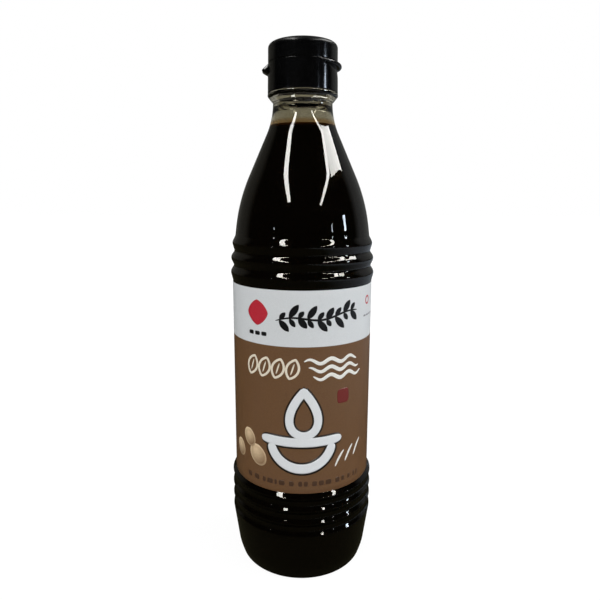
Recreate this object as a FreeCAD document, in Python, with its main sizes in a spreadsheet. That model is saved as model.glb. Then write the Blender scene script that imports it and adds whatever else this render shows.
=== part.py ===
# A soy sauce bottle: a clear ribbed bottle, the sauce in it, its wrap label, and a shut flip-top cap.
# Every round piece is an outline turned about the Z axis. Lengths are in millimetres.
# The origin is on the axis, at the level of the ring that the bottle stands on; +Z is up, and the hinge is at -X.
import FreeCAD, Part
import math
import os
import Sketcher

sizeValues = {
    # underside and heel: foot and heel are set in from the label panel's reach
    "wall": 0.5,
    "dishHeight": 9.0,
    "dishFlat": 6.0,
    "dishRound": 22.0,
    "footInnerInset": 6.76,
    "footInnerRound": 1.5,
    "footOuterInset": 4.86,
    "footOuterRound": 2.2,
    "heelInset": 0.56,
    "heelHeight": 12.1,
    "heelRound": 24.4,
    # lower ribs: crests and valleys stand proud of the panel
    "ribProud": 1.84,
    "ribRound": 2.0,
    "valleyProud": 0.44,
    "valleyRound": 1.6,
    "ribStart": 27.4,
    "ribPitch": 6.9,
    # label panel: ribEdge is the step from the last rib's crest to the panel
    "ribEdge": 2.2,
    "panelReach": 36.16,
    "panelLength": 103.1,
    "labelThick": 0.1,
    "labelFootMargin": 0.1,
    "labelTopMargin": 0.8,
    # upper ribs: heights are counted from the panel's top; they step inwards from the panel's reach
    "collarStart": 3.9,
    "collarPitch": 7.45,
    "collarProudLow": 0.96,
    "collarProudMid": 0.69,
    "collarInsetTop": 0.06,
    "valleyInsetLow": 0.56,
    "valleyInsetTop": 0.96,
    "shoulderValleyInset": 1.66,
    "shoulderValleyRise": 4.2,
    # shoulder and neck: heights are counted from the panel's top; a straight stretch joins their two rounds
    "shoulderInset": 1.42,
    "shoulderStart": 15.8,
    "shoulderStraight": 22.7156,
    "neckReach": 14.8,
    "neckRise": 87.6,
    "neckRound": 36.5,
    "neckWall": 1.6,
    # carrying ring and the plain finish that the cap covers: both stand proud of the neck
    "ringDrop": 1.0,
    "ringTaper": 1.6,
    "ringProud": 2.6,
    "ringThick": 1.6,
    "finishProud": 0.5,
    "finishLength": 12.0,
    # sauce level, below the top of the neck's curve
    "levelDrop": 11.2,
    # cap base
    "capLift": 0.2,
    "capClearance": 0.1,
    "capWall": 1.95,
    "capTaper": 0.2,
    "capDeck": 1.9,
    # thumb scoop under the lip
    "scoopAxis": 2.0,
    "scoopDepth": 1.0,
    "scoopLength": 9.7,
    "scoopRound": 36.0,
    "scoopMargin": 0.02,
    # hinge
    "hingeProud": 2.65,
    "hingeTop": 0.1,
    "hingePeak": 3.2,
    "hingeFoot": 5.4,
    "hingeRound": 0.6,
    "hingeRoot": 0.8,
    "hingeWidth": 8.0,
    # lid
    "seamHeight": 0.35,
    "seamDepth": 0.5,
    "lidInset": 0.05,
    "lidTaper": 0.2,
    "lidHeight": 9.2,
    "lidRound": 2.2,
    # lip of the lid
    "lipAxis": 3.5,
    "lipInset": 1.5,
    "lipDrop": 2.6,
    "lipRise": 0.3,
    "lipRound": 1.0,
    "lipTopRound": 1.5,
    "lipClearance": 0.15,
}
ribCount = 4


class Length:
    """A length as a number, together with the same length as an expression on the sheet."""

    def __init__(self, value, text):
        self.value = value
        self.text = text

    def __add__(self, other):
        return Length(self.value + other.value, f"{self.text} + {other.text}")

    def __sub__(self, other):
        return Length(self.value - other.value, f"{self.text} - ({other.text})")

    def __neg__(self):
        return Length(-self.value, f"-({self.text})")

    def times(self, factor):
        return Length(self.value * factor, f"({self.text}) * {factor}")


class Corner:
    """A sharp point of an outline. With no x it lies on the axis of turning."""

    radius = 0.0
    turn = 1

    def __init__(self, x, z):
        self.x = x
        self.z = z

    def centre(self):
        return (self.x.value if self.x else 0.0, self.z.value)


class Round:
    """A round stretch of an outline about a fixed centre: turn is 1 where it bulges, -1 where it hollows."""

    def __init__(self, x, z, radius, turn):
        self.x = x
        self.z = z
        self.size = radius
        self.radius = radius.value
        self.turn = turn

    def centre(self):
        return (self.x.value, self.z.value)


doc = FreeCAD.newDocument("soy_sauce_bottle")
sheet = doc.addObject("Spreadsheet::Sheet", "Sizes")
for row, (alias, number) in enumerate(sizeValues.items(), start=1):
    sheet.set(f"A{row}", alias)
    sheet.set(f"B{row}", str(number))
    sheet.setAlias(f"B{row}", alias)
doc.recompute()


def size(alias):
    return Length(sizeValues[alias], f"Sizes.{alias}")


def newBody(label):
    body = doc.addObject("PartDesign::Body", label)
    body.Label = label
    return body


def originPlane(body, role):
    return next(item for item in body.Origin.OriginFeatures if item.Role == role)


def newSketch(body, name, role, offsetX=None):
    """A sketch on an origin plane of its own body, moved along X by a size of the sheet."""
    sketch = body.newObject("Sketcher::SketchObject", name)
    sketch.AttachmentSupport = [(originPlane(body, role), "")]
    sketch.MapMode = "FlatFace"
    if offsetX:
        sketch.setExpression("AttachmentOffset.Base.x", offsetX.text)
    return sketch


def tangentLine(first, second):
    """The ends of the straight line that leaves one round stretch and joins the next without a kink."""
    (x0, z0), (x1, z1) = first.centre(), second.centre()
    spread = math.hypot(x1 - x0, z1 - z0)
    reachFirst, reachSecond = first.turn * first.radius, second.turn * second.radius
    angle = math.atan2(z1 - z0, x1 - x0) + math.asin((reachFirst - reachSecond) / spread)
    outX, outZ = math.sin(angle), -math.cos(angle)
    return (
        FreeCAD.Vector(x0 + reachFirst * outX, z0 + reachFirst * outZ, 0),
        FreeCAD.Vector(x1 + reachSecond * outX, z1 + reachSecond * outZ, 0),
    )


def nameConstraint(sketch, kind, where, length, name):
    index = sketch.addConstraint(Sketcher.Constraint(kind, *where, length.value))
    sketch.renameConstraint(index, name)
    sketch.setExpression(f"Constraints.{name}", length.text)


def drawOutline(sketch, stops):
    """Draws a closed outline, anticlockwise: a straight line between each two stops, an arc at each round one."""
    count = len(stops)
    lines = [tangentLine(stops[i], stops[(i + 1) % count]) for i in range(count)]
    lineIds = [sketch.addGeometry(Part.LineSegment(*ends), False) for ends in lines]
    for i, stop in enumerate(stops):
        before, after = lineIds[i - 1], lineIds[i]
        if isinstance(stop, Corner):
            sketch.addConstraint(Sketcher.Constraint("Coincident", before, 2, after, 1))
            if stop.x:
                nameConstraint(sketch, "DistanceX", (-1, 1, after, 1), stop.x, f"cornerX{i}")
            else:
                sketch.addConstraint(Sketcher.Constraint("PointOnObject", after, 1, -2))
            nameConstraint(sketch, "DistanceY", (-1, 1, after, 1), stop.z, f"cornerZ{i}")
            continue
        centre = FreeCAD.Vector(*stop.centre(), 0)
        ends = [lines[i - 1][1], lines[i][0]][:: stop.turn]
        angles = [math.atan2(end.y - centre.y, end.x - centre.x) for end in ends]
        if angles[1] < angles[0]:
            angles[1] += 2 * math.pi
        circle = Part.Circle(centre, FreeCAD.Vector(0, 0, 1), stop.radius)
        arc = sketch.addGeometry(Part.ArcOfCircle(circle, *angles), False)
        startOfArc, endOfArc = (1, 2)[:: stop.turn]
        sketch.addConstraint(Sketcher.Constraint("Tangent", before, 2, arc, startOfArc))
        sketch.addConstraint(Sketcher.Constraint("Tangent", arc, endOfArc, after, 1))
        nameConstraint(sketch, "DistanceX", (-1, 1, arc, 3), stop.x, f"centreX{i}")
        nameConstraint(sketch, "DistanceY", (-1, 1, arc, 3), stop.z, f"centreZ{i}")
        nameConstraint(sketch, "Radius", (arc,), stop.size, f"radius{i}")


def turned(body, kind, name, stops, offsetX=None):
    """Adds (Revolution) or cuts (Groove) an outline in the XZ plane, turned once about the sketch's upright axis."""
    sketch = newSketch(body, f"{name}_outline", "XZ_Plane", offsetX=offsetX)
    drawOutline(sketch, stops)
    feature = body.newObject(f"PartDesign::{kind}", name)
    feature.Profile = sketch
    feature.ReferenceAxis = (sketch, ["V_Axis"])
    feature.Angle = 360
    sketch.Visibility = False
    return feature


# Heights that several pieces share, each counted up from the one below.
panelBottom = size("ribStart") + size("ribPitch").times(ribCount - 1) + size("ribEdge")
panelTop = panelBottom + size("panelLength")
neckTop = panelTop + size("neckRise")
ringBottom = neckTop + size("ringDrop") + size("ringTaper")
ringTop = ringBottom + size("ringThick")
finishTop = ringTop + size("finishLength")
sauceLevel = neckTop - size("levelDrop")
capBottom = ringTop + size("capLift")
capTop = finishTop + size("capDeck")
lipTop = capTop + size("seamHeight") + size("lipRise")

# Reaches from the axis that several pieces share.
panelReach = size("panelReach")
shoulderReach = panelReach - size("shoulderInset")
neckReach = size("neckReach")
boreReach = neckReach - size("neckWall")
finishReach = neckReach + size("finishProud")
capBore = finishReach + size("capClearance")
capReach = capBore + size("capWall")
capTopReach = capReach - size("capTaper")
lidReach = capTopReach - size("lidInset")


def shoulderRound():
    """The shoulder's radius: it leaves the straight stretch between shoulder and neck its own named length."""
    drop = shoulderReach - neckReach
    rise = size("neckRise") - size("shoulderStart")
    straight = size("shoulderStraight")
    bothRounds = (drop.value**2 + rise.value**2 - straight.value**2) / (2 * drop.value)
    text = f"(({drop.text})^2 + ({rise.text})^2 - {straight.text}^2) / (2 * ({drop.text}))"
    return Length(bothRounds, text) - size("neckRound")


def bulge(reach, z, radius, inset=None):
    """A stretch that bulges out to a reach from the axis; with an inset, the same stretch of the inner face."""
    centreX = reach - radius
    return Round(centreX, z, radius - inset if inset else radius, 1)


def hollow(reach, z, radius, inset=None):
    """A stretch that dips in to a reach from the axis, or the same stretch of the inner face."""
    centreX = reach + radius
    return Round(centreX, z, radius + inset if inset else radius, -1)


def bodyStops(inset=None):
    """The bottle from its underside's centre up to the neck; with an inset, the inner face instead."""
    dishTop = size("dishHeight")
    dishRound = size("dishRound")
    edgeIn, edgeOut = size("footInnerRound"), size("footOuterRound")
    stops = [
        Corner(None, dishTop + inset if inset else dishTop),
        Round(size("dishFlat"), dishTop - dishRound, dishRound + inset if inset else dishRound, -1),
        Round(panelReach - size("footInnerInset"), edgeIn, edgeIn - inset if inset else edgeIn, 1),
        Round(panelReach - size("footOuterInset"), edgeOut, edgeOut - inset if inset else edgeOut, 1),
        bulge(panelReach - size("heelInset"), size("heelHeight"), size("heelRound"), inset),
    ]
    for rib in range(ribCount):
        crest = size("ribStart") + size("ribPitch").times(rib)
        stops.append(bulge(panelReach + size("ribProud"), crest, size("ribRound"), inset))
        if rib < ribCount - 1:
            valley = crest + size("ribPitch").times(0.5)
            stops.append(hollow(panelReach + size("valleyProud"), valley, size("valleyRound"), inset))
    panelX = panelReach - inset if inset else panelReach
    stops += [Corner(panelX, panelBottom), Corner(panelX, panelTop)]
    crests = [
        panelReach + size("collarProudLow"),
        panelReach + size("collarProudMid"),
        panelReach - size("collarInsetTop"),
    ]
    valleys = [panelReach - size("valleyInsetLow"), panelReach - size("valleyInsetTop")]
    for rib, reach in enumerate(crests):
        crest = panelTop + size("collarStart") + size("collarPitch").times(rib)
        stops.append(bulge(reach, crest, size("ribRound"), inset))
        if rib < len(valleys):
            valley = crest + size("collarPitch").times(0.5)
            stops.append(hollow(valleys[rib], valley, size("valleyRound"), inset))
    valley = crest + size("shoulderValleyRise")
    stops.append(hollow(panelReach - size("shoulderValleyInset"), valley, size("valleyRound"), inset))
    stops.append(bulge(shoulderReach, panelTop + size("shoulderStart"), shoulderRound(), inset))
    neckInset = size("neckWall") if inset else None
    stops.append(hollow(neckReach, neckTop, size("neckRound"), neckInset))
    return stops


def innerStops():
    return bodyStops(size("wall")) + [Corner(boreReach, finishTop), Corner(None, finishTop)]


def makeBottle():
    body = newBody("bottle")
    ringReach = neckReach + size("ringProud")
    finish = [
        Corner(neckReach, neckTop + size("ringDrop")),
        Corner(ringReach, ringBottom),
        Corner(ringReach, ringTop),
        Corner(finishReach, ringTop),
        Corner(finishReach, finishTop),
        Corner(None, finishTop),
    ]
    turned(body, "Revolution", "bottle_outside", bodyStops() + finish)
    doc.recompute()
    turned(body, "Groove", "bottle_inside", innerStops())
    return body


def makeSauce():
    body = newBody("soy_sauce")
    turned(body, "Revolution", "sauce_fill", innerStops())
    doc.recompute()
    above = [
        Corner(None, sauceLevel),
        Corner(panelReach, sauceLevel),
        Corner(panelReach, capTop),
        Corner(None, capTop),
    ]
    turned(body, "Groove", "sauce_level", above)
    return body


def makeLabel():
    body = newBody("label")
    bottom = panelBottom + size("labelFootMargin")
    top = panelTop - size("labelTopMargin")
    outer = panelReach + size("labelThick")
    sleeve = [Corner(panelReach, bottom), Corner(outer, bottom), Corner(outer, top), Corner(panelReach, top)]
    turned(body, "Revolution", "label_sleeve", sleeve)
    return body


def makeCapBase():
    body = newBody("cap_base")
    skirt = [
        Corner(capBore, capBottom),
        Corner(capReach, capBottom),
        Corner(capTopReach, capTop),
        Corner(None, capTop),
        Corner(None, finishTop),
        Corner(capBore, finishTop),
    ]
    turned(body, "Revolution", "cap_skirt", skirt)
    doc.recompute()
    makeHinge(body)
    doc.recompute()
    makeScoop(body)
    return body


def makeHinge(body):
    """A small rounded wedge across the back of the cap base."""
    root = -(capTopReach - size("hingeRoot"))
    peak = Round(
        -(capReach + size("hingeProud") - size("hingeRound")),
        capTop - size("hingePeak"),
        size("hingeRound"),
        1,
    )
    sketch = newSketch(body, "hinge_outline", "XZ_Plane")
    drawOutline(sketch, [Corner(root, capTop - size("hingeTop")), peak, Corner(root, capTop - size("hingeFoot"))])
    pad = body.newObject("PartDesign::Pad", "hinge_wedge")
    pad.Profile = sketch
    pad.setExpression("Length", "Sizes.hingeWidth")
    pad.Midplane = True
    sketch.Visibility = False


def makeScoop(body):
    """The thumb scoop: a cut turned about an axis set back from the cap's, deepest under the lip."""
    start = capReach + size("scoopAxis") + size("scoopMargin")
    low = capTop - size("scoopLength")
    deepest = capTopReach + size("scoopAxis") - size("scoopDepth")
    far = start + size("hingeProud")
    above = capTop + size("capDeck")
    stops = [
        Corner(start, low - size("capDeck")),
        Corner(far, low - size("capDeck")),
        Corner(far, above),
        Corner(deepest, above),
        Corner(deepest, capTop),
        Round(start - size("scoopRound"), low, size("scoopRound"), -1),
    ]
    turned(body, "Groove", "thumb_scoop", stops, offsetX=-size("scoopAxis"))


def makeLid():
    body = newBody("cap_lid")
    lidTop = capTop + size("lidHeight")
    seamReach = lidReach - size("seamDepth")
    edge = capTop + size("seamHeight")
    stops = [
        Corner(None, capTop),
        Corner(seamReach, capTop),
        Corner(seamReach, edge),
        Corner(lidReach, edge),
        bulge(lidReach - size("lidTaper"), lidTop - size("lidRound"), size("lidRound")),
        Corner(None, lidTop),
    ]
    turned(body, "Revolution", "lid_top", stops)
    doc.recompute()
    makeLip(body)
    return body


def makeLip(body):
    """A crescent that hangs over the scoop: a disc about an axis set forward, less the cap base it clears."""
    low = capTop - size("lipDrop")
    reach = lidReach - size("lipInset")
    lip = [
        Corner(None, low),
        bulge(reach, low + size("lipRound"), size("lipRound")),
        bulge(reach, lipTop - size("lipTopRound"), size("lipTopRound")),
        Corner(None, lipTop),
    ]
    turned(body, "Revolution", "lid_lip", lip, offsetX=size("lipAxis"))
    doc.recompute()
    clear = capReach + size("lipClearance")
    below = low - size("capDeck")
    room = [Corner(None, below), Corner(clear, below), Corner(clear, capTop), Corner(None, capTop)]
    turned(body, "Groove", "lip_room", room)


bodies = [makeBottle(), makeSauce(), makeLabel(), makeCapBase(), makeLid()]
doc.recompute()

for item in doc.Objects:
    if "Invalid" in item.State or "Error" in item.State:
        raise RuntimeError(f"{item.Name} failed: {item.State}")
for body in bodies:
    if body.Shape.isNull() or not body.Shape.isValid():
        raise RuntimeError(f"{body.Label} has no valid shape")

os.makedirs("parts", exist_ok=True)
for body in bodies:
    body.Shape.exportStep(f"parts/{body.Label}.step")
    box = body.Shape.optimalBoundingBox(False)
    print(
        f"{body.Label}: {len(body.Shape.Solids)} solid, {body.Shape.Volume / 1000:.2f} ml,"
        f" z {box.ZMin:.2f} to {box.ZMax:.2f}, x {box.XMin:.2f} to {box.XMax:.2f}"
    )
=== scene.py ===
import math

import bpy
import numpy as np
from mathutils import Euler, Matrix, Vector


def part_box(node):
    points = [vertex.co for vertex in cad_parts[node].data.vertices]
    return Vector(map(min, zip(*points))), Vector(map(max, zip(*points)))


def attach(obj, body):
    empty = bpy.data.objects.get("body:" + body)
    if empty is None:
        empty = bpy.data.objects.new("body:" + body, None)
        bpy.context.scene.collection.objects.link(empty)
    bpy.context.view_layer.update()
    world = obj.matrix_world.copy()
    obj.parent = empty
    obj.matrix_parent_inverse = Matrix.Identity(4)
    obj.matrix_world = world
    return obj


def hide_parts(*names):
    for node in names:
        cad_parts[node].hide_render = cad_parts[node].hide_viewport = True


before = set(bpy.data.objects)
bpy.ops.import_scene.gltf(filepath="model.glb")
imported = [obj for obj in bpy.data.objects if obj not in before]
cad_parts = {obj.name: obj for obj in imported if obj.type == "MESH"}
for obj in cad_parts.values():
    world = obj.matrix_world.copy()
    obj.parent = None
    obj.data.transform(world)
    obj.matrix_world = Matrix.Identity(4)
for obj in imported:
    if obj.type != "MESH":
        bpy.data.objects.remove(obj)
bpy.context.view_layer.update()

mm = 0.001

# heights and reaches that several pieces share, all from the frame
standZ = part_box("bottle")[0].z
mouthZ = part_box("bottle")[1].z
labelLow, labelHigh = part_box("label")[0].z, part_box("label")[1].z
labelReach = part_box("label")[1].x
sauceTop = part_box("soy_sauce")[1].z
capLow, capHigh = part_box("cap_base")[0].z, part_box("cap_base")[1].z
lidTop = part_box("cap_lid")[1].z
panelLow = labelLow - 0.1 * mm     # the panel reaches a little past the label at both ends
panelHigh = labelHigh + 0.8 * mm


def tangentEnds(first, second):
    # the straight line that leaves one circle and meets the next without a kink: its angle is that between
    # their centres plus the arcsine of the difference of the turned radii over their distance
    (x0, z0, r0, t0), (x1, z1, r1, t1) = first, second
    spread = math.hypot(x1 - x0, z1 - z0)
    angle = math.atan2(z1 - z0, x1 - x0) + math.asin((t0 * r0 - t1 * r1) / spread)
    out = np.array([math.sin(angle), -math.cos(angle)])
    return np.array([x0, z0]) + t0 * r0 * out, np.array([x1, z1]) + t1 * r1 * out


def outline(stops, step, turnStep, closed=False):
    # an outline through stops (reach, height, radius, turn): tangent lines between circles, and the circles'
    # own arcs, centre + radius (cos a, sin a); both are cut evenly, at least once a step or turnStep
    count = len(stops)
    links = [(i, (i + 1) % count) for i in range(count if closed else count - 1)]
    lines = [tangentEnds(stops[a], stops[b]) for a, b in links]
    pieces = []
    for i, (x, z, radius, turn) in enumerate(stops):
        before = lines[i - 1][1] if closed or i > 0 else None
        after = lines[i][0] if closed or i < count - 1 else None
        if radius == 0 or before is None or after is None:
            pieces.append(np.array([[x, z]]))
        else:
            start = math.atan2(before[1] - z, before[0] - x)
            end = math.atan2(after[1] - z, after[0] - x)
            sweep = (turn * (end - start)) % (2 * math.pi)
            n = max(2, int(math.ceil(max(sweep / turnStep, sweep * radius / step))) + 1)
            angle = start + turn * np.linspace(0, sweep, n)
            pieces.append(np.stack([x + radius * np.cos(angle), z + radius * np.sin(angle)], 1))
        if after is not None:
            n = int(np.hypot(*(lines[i][1] - lines[i][0])) / step)
            share = (np.arange(1, n + 1) / (n + 1))[:, None]
            pieces.append(lines[i][0] + share * (lines[i][1] - lines[i][0]))
    return np.concatenate(pieces)


def gridFaces(points, closeU):
    # quads over a grid (U, V, 3) whose rows are closed loops; unless the grid closes along U too, its first
    # and last rows are single points, joined to their neighbours by fans of triangles
    columns = points.shape[1]
    body = points if closeU else points[1:-1]
    index = np.arange(body.shape[0] * columns).reshape(-1, columns)
    around = np.concatenate([index, index[:, :1]], 1)
    if closeU:
        around = np.concatenate([around, around[:1]], 0)
    quads = np.stack([around[:-1, :-1], around[:-1, 1:], around[1:, 1:], around[1:, :-1]], -1).reshape(-1, 4)
    triangles = np.zeros((0, 3), int)
    vertices = body.reshape(-1, 3)
    if not closeU:
        low, high = np.full(columns, len(vertices)), np.full(columns, len(vertices) + 1)
        triangles = np.concatenate([np.stack([low, around[0, 1:], around[0, :-1]], -1),
                                    np.stack([high, around[-1, :-1], around[-1, 1:]], -1)])
        vertices = np.concatenate([vertices, points[:1, 0], points[-1:, 0]])
    first = np.concatenate([quads[:, :3], triangles])
    a, b, c = (vertices[first[:, k]] - vertices.mean(0) for k in range(3))
    if np.einsum("ij,ij->i", a, np.cross(b, c)).sum() < 0:
        quads, triangles = quads[:, ::-1], triangles[:, ::-1]
    return vertices, quads, triangles


def meshOf(name, grids):
    # one mesh out of several grids, each given as (points, closes along U); every shell faces outward
    allVertices, corners, sizes, start = [], [], [], 0
    for points, closeU in grids:
        vertices, quads, triangles = gridFaces(points, closeU)
        allVertices.append(vertices)
        corners += [quads.ravel() + start, triangles.ravel() + start]
        sizes += [np.full(len(quads), 4), np.full(len(triangles), 3)]
        start += len(vertices)
    corners, sizes = np.concatenate(corners), np.concatenate(sizes)
    mesh = bpy.data.meshes.new(name)
    mesh.vertices.add(start)
    mesh.vertices.foreach_set("co", np.concatenate(allVertices).ravel().astype(np.float32))
    mesh.loops.add(len(corners))
    mesh.loops.foreach_set("vertex_index", corners.astype(np.int32))
    mesh.polygons.add(len(sizes))
    mesh.polygons.foreach_set("loop_start", (np.cumsum(sizes) - sizes).astype(np.int32))
    mesh.polygons.foreach_set("use_smooth", np.ones(len(sizes), bool))
    mesh.update(calc_edges=True)
    return mesh


def newPiece(name, grids, material, replaced=None):
    mesh = meshOf(name, grids)
    mesh.materials.append(material)
    piece = bpy.data.objects.new(name, mesh)
    bpy.context.scene.collection.objects.link(piece)
    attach(piece, "root")
    if replaced:
        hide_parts(replaced)
    return piece


def turned(path, segments, shape=None):
    # a path of (reach, height) turned about Z: x = reach sin a, y = -reach cos a, so angle 0 is the front;
    # shape(reach, angle, height) may change the reach
    angle = np.broadcast_to(np.linspace(0, 2 * math.pi, segments, endpoint=False), (len(path), segments))
    reach = np.repeat(path[:, :1], segments, 1)
    height = np.repeat(path[:, 1:2], segments, 1)
    if shape:
        reach = shape(reach, angle, height)
    return np.stack([reach * np.sin(angle), -reach * np.cos(angle), height], -1)


class Nodes:
    # a short way to add shader nodes and link them
    def __init__(self, tree):
        self.tree = tree
        tree.nodes.clear()

    def add(self, kind, values=None, **settings):
        node = self.tree.nodes.new(kind)
        for key, value in settings.items():
            setattr(node, key, value)
        for key, value in (values or {}).items():
            socket = node.inputs[key]
            if isinstance(value, bpy.types.NodeSocket):
                self.tree.links.new(value, socket)
            else:
                socket.default_value = value
        return node


def newMaterial(name):
    material = bpy.data.materials.new(name)
    material.use_nodes = True
    return material, Nodes(material.node_tree)


def finishMaterial(nodes, shader):
    nodes.add("ShaderNodeOutputMaterial", {"Surface": shader.outputs[0]})


def placeNoise(nodes, scale, stretch=(1, 1, 1), detail=3.0):
    # noise on the piece's own place, stretched along the axes
    where = nodes.add("ShaderNodeTexCoord")
    mapping = nodes.add("ShaderNodeMapping", {"Vector": where.outputs["Object"], "Scale": stretch})
    values = {"Vector": mapping.outputs[0], "Scale": scale, "Detail": detail, "Roughness": 0.55}
    return nodes.add("ShaderNodeTexNoise", values).outputs["Fac"]


def mapped(nodes, value, fromLow, fromHigh, toLow, toHigh):
    values = {"Value": value, "From Min": fromLow, "From Max": fromHigh, "To Min": toLow, "To Max": toHigh}
    return nodes.add("ShaderNodeMapRange", values).outputs[0]


def mixed(nodes, share, first, second):
    # indices 6 and 7 are the colour sockets of the Mix node
    node = nodes.add("ShaderNodeMix", {0: share}, data_type="RGBA")
    for index, value in ((6, first), (7, second)):
        if isinstance(value, bpy.types.NodeSocket):
            nodes.tree.links.new(value, node.inputs[index])
        else:
            node.inputs[index].default_value = value
    return node.outputs[2]


def heightOf(nodes):
    where = nodes.add("ShaderNodeTexCoord")
    return nodes.add("ShaderNodeSeparateXYZ", {"Vector": where.outputs["Object"]}).outputs["Z"]


def bumped(nodes, height, strength, distance):
    values = {"Height": height, "Strength": strength, "Distance": distance}
    return nodes.add("ShaderNodeBump", values).outputs[0]


bottleShape = {   # mm
    "wall": 0.5, "neckWall": 0.75,
    "dishHeight": 9.0, "dishReach": 6.0, "dishRound": 22.0,     # hollow of the underside
    "standReach": 29.4, "standRound": 1.5,                      # ring that the bottle stands on
    "heelReach": 31.3, "heelRound": 2.2,
    "bodyReach": 11.2, "bodyHeight": 12.1, "bodyRound": 24.4,   # long curve from the heel to the ribs
    "ribs": 4, "ribStart": 27.4, "ribPitch": 6.9,               # lower ribs, from the foot
    "ribReach": 38.0, "ribValley": 36.6,
    "ribRounds": (0.9, 3.7),                                    # crest and valley: thin beads, wide hollows
    "panelReach": 36.16, "panelCorner": 0.35, "cornerRise": 0.25, "cornerDrop": 0.2,
    "collarStart": 3.9, "collarPitch": 7.45,                    # upper ribs, above the panel
    "collarReach": (37.12, 36.85, 36.1), "collarValley": (35.6, 35.2),
    "collarRounds": (3.0, 1.6),                                 # wide crests, narrow hollows
    "collarEndReach": 34.5, "collarEndRise": 4.3,
    "shoulderReach": 34.74, "shoulderRise": 15.8, "shoulderRound": 89.8,   # rises are above the panel
    "neckReach": 14.8, "neckRise": 87.6, "neckRound": 36.5,
    "segments": 200,
}


def inMetres(stops):
    return [(x * mm, z * mm, radius * mm, turn) for x, z, radius, turn in stops]


def bottleStops(inset):
    # stops of the bottle's outline from its underside to the neck's top; an inset moves every face inwards
    shape = bottleShape
    low = standZ / mm
    panelZ, collarZ = panelLow / mm, panelHigh / mm
    ribCrest, ribValley = shape["ribRounds"]
    collarCrest, collarValley = shape["collarRounds"]

    def crest(reach, height, radius):
        return reach - radius, height, radius - inset, 1

    def valley(reach, height, radius):
        return reach + radius, height, radius + inset, -1

    dish, stand, heel, body = shape["dishRound"], shape["standRound"], shape["heelRound"], shape["bodyRound"]
    stops = [(0, low + shape["dishHeight"] + inset, 0, 1),
             (shape["dishReach"], low + shape["dishHeight"] - dish, dish + inset, -1),
             (shape["standReach"], low + stand, stand - inset, 1),
             (shape["heelReach"], low + heel, heel - inset, 1),
             (shape["bodyReach"], low + shape["bodyHeight"], body - inset, 1)]
    for rib in range(shape["ribs"]):
        height = low + shape["ribStart"] + shape["ribPitch"] * rib
        stops.append(crest(shape["ribReach"], height, ribCrest))
        if rib < shape["ribs"] - 1:
            stops.append(valley(shape["ribValley"], height + shape["ribPitch"] / 2, ribValley))
    stops.append(valley(shape["panelReach"], panelZ + shape["cornerRise"], shape["panelCorner"]))
    stops.append(valley(shape["panelReach"], collarZ - shape["cornerDrop"], shape["panelCorner"]))
    for rib, reach in enumerate(shape["collarReach"]):
        height = collarZ + shape["collarStart"] + shape["collarPitch"] * rib
        stops.append(crest(reach, height, collarCrest))
        if rib < len(shape["collarValley"]):
            stops.append(valley(shape["collarValley"][rib], height + shape["collarPitch"] / 2, collarValley))
    stops.append(valley(shape["collarEndReach"], height + shape["collarEndRise"], collarValley))
    stops.append(crest(shape["shoulderReach"], collarZ + shape["shoulderRise"], shape["shoulderRound"]))
    neckInset = shape["neckWall"] * inset / shape["wall"]
    neck = shape["neckRound"]
    stops.append((shape["neckReach"] + neck, collarZ + shape["neckRise"], neck + neckInset, -1))
    return inMetres(stops)


plasticShape = {
    "wetTop": (1.3, 2.9),              # the wetted band fades between these heights above the sauce, mm
    "paintedShadeLow": (6.6, 7.4), "paintedShadeHigh": (8.9, 9.9),   # painted dark band, standing in for the black cap's reflection seen through the neck: it starts and ends above the sauce
    "paintedShadeFront": (-6.0, -1.0),        # and fade along Y
    "cast": ((0.345, 0.325, 0.245, 1), (0.43, 0.41, 0.335, 1)),
    "wetColour": (0.31, 0.215, 0.105, 1),
    "paintedShadeColour": (0.05, 0.040, 0.026, 1),
}


def makeClearPlastic():
    # clear plastic with a brown-grey cast where sauce has wetted the inside: amber just above the level, and
    # a painted dark band under the carrying ring, at the front, standing in for the black cap's reflection
    # seen through the neck
    shape = plasticShape
    material, nodes = newMaterial("clearPlastic")
    place = nodes.add("ShaderNodeSeparateXYZ", {"Vector": nodes.add("ShaderNodeTexCoord").outputs["Object"]})
    cloud = mapped(nodes, placeNoise(nodes, 90.0, stretch=(1, 1, 0.35)), 0.35, 0.7, 0.0, 1.0)
    cast = mixed(nodes, cloud, *shape["cast"])

    def edge(axis, ends, origin, toLow, toHigh):
        return mapped(nodes, place.outputs[axis], origin + ends[0] * mm, origin + ends[1] * mm, toLow, toHigh)

    amber = mixed(nodes, edge("Z", shape["wetTop"], sauceTop, 1.0, 0.0), cast, shape["wetColour"])
    rise = edge("Z", shape["paintedShadeLow"], sauceTop, 0.0, 1.0)
    fall = edge("Z", shape["paintedShadeHigh"], sauceTop, 1.0, 0.0)
    front = edge("Y", shape["paintedShadeFront"], 0.0, 1.0, 0.0)
    # painted shade: noisy dark patches in a band under the ring, standing in for the black cap's reflection
    # seen through the neck
    paintedShadeBand = mapped(nodes, placeNoise(nodes, 260.0, stretch=(1, 1, 1.6), detail=4.0), 0.45, 0.56, 0.0, 1.0)
    for part in (rise, fall, front):
        paintedShadeBand = nodes.add("ShaderNodeMath", {0: paintedShadeBand, 1: part}, operation="MULTIPLY").outputs[0]
    ripple = placeNoise(nodes, 55.0, stretch=(1, 1, 0.6), detail=1.0)
    shader = nodes.add("ShaderNodeBsdfPrincipled", {
        "Base Color": mixed(nodes, paintedShadeBand, amber, shape["paintedShadeColour"]),
        "Roughness": 0.015, "IOR": 1.54, "Transmission Weight": 1.0,
        "Normal": bumped(nodes, ripple, 0.25, 0.12 * mm)})
    finishMaterial(nodes, shader)
    return material


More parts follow.
